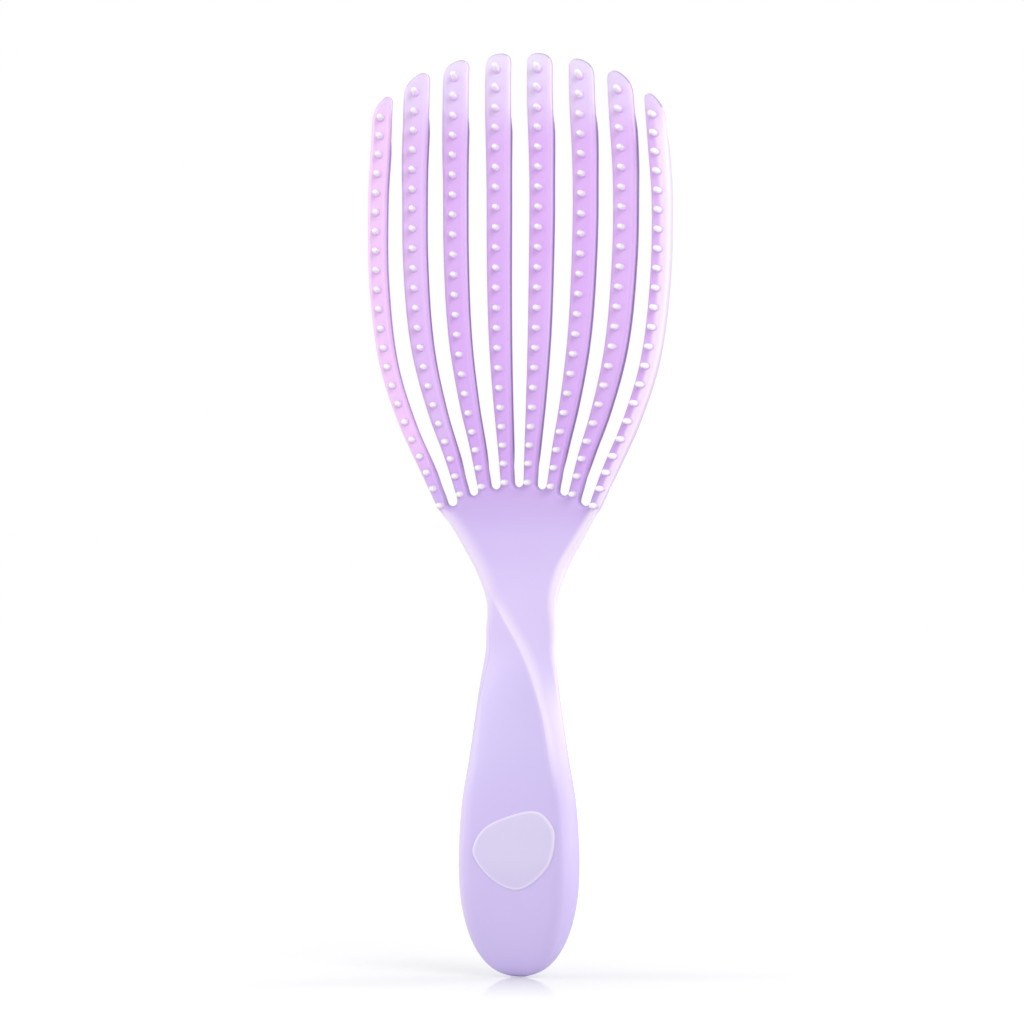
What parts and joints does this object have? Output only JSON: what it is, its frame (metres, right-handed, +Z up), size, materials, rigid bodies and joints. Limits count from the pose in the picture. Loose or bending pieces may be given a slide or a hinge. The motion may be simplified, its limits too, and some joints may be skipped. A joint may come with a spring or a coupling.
{
  "type": "detangling brush",
  "caption": "Hand brush for detangling hair: flexible fan-shaped fingers with rows of short blunt pegs on a palm that twists down into a bulb-shaped handle.",
  "frame": {"origin": "lowest point of the rounded foot of the handle, on the handle's axis", "axes": "+Z up the handle to the finger tips, -Y the side that the pegs point to, +X to the right seen from that side"},
  "size_m": [0.0804, 0.0202, 0.24],
  "materials": {
    "shell": "satin",
    "finger": "satin",
    "peg": "satin",
    "badge": "satin"
  },
  "bodies": {
    "handle": {"handle_front": "shell", "handle_rear": "shell", "badge": "badge"},
    "finger_1": {"finger_1": "finger", "pins_1": "peg", "back_strip_1": "finger"},
    "finger_2": {"finger_2": "finger", "pins_2": "peg", "back_strip_2": "finger"},
    "finger_3": {"finger_3": "finger", "pins_3": "peg", "back_strip_3": "finger"},
    "finger_4": {"finger_4": "finger", "pins_4": "peg", "back_strip_4": "finger"},
    "finger_5": {"finger_5": "finger", "pins_5": "peg", "back_strip_5": "finger"},
    "finger_6": {"finger_6": "finger", "pins_6": "peg", "back_strip_6": "finger"},
    "finger_7": {"finger_7": "finger", "pins_7": "peg", "back_strip_7": "finger"},
    "finger_8": {"finger_8": "finger", "pins_8": "peg", "back_strip_8": "finger"}
  },
  "joints": [
    {"name": "finger_1_flex", "type": "hinge", "parent": "handle", "child": "finger_1", "pos_m": [-0.01826, 0, 0.1181], "axis": [-0.8822, -0.0702, -0.4656], "range_deg": [-5, 10], "stiffness_Nm_per_rad": 1},
    {"name": "finger_2_flex", "type": "hinge", "parent": "handle", "child": "finger_2", "pos_m": [-0.01336, 0, 0.12089], "axis": [-0.9375, -0.0553, -0.3435], "range_deg": [-5, 10], "stiffness_Nm_per_rad": 1},
    {"name": "finger_3_flex", "type": "hinge", "parent": "handle", "child": "finger_3", "pos_m": [-0.00821, 0, 0.12273], "axis": [-0.9762, -0.0354, -0.214], "range_deg": [-5, 10], "stiffness_Nm_per_rad": 1},
    {"name": "finger_4_flex", "type": "hinge", "parent": "handle", "child": "finger_4", "pos_m": [-0.00271, 0, 0.12369], "axis": [-0.9974, -0.0119, -0.0712], "range_deg": [-5, 10], "stiffness_Nm_per_rad": 1},
    {"name": "finger_5_flex", "type": "hinge", "parent": "handle", "child": "finger_5", "pos_m": [0.00271, 0, 0.12369], "axis": [-0.9974, 0.0119, 0.0712], "range_deg": [-5, 10], "stiffness_Nm_per_rad": 1},
    {"name": "finger_6_flex", "type": "hinge", "parent": "handle", "child": "finger_6", "pos_m": [0.00821, 0, 0.12273], "axis": [-0.9762, 0.0354, 0.214], "range_deg": [-5, 10], "stiffness_Nm_per_rad": 1},
    {"name": "finger_7_flex", "type": "hinge", "parent": "handle", "child": "finger_7", "pos_m": [0.01336, 0, 0.12089], "axis": [-0.9375, 0.0553, 0.3435], "range_deg": [-5, 10], "stiffness_Nm_per_rad": 1},
    {"name": "finger_8_flex", "type": "hinge", "parent": "handle", "child": "finger_8", "pos_m": [0.01826, 0, 0.1181], "axis": [-0.8822, 0.0702, 0.4656], "range_deg": [-5, 10], "stiffness_Nm_per_rad": 1}
  ]
}
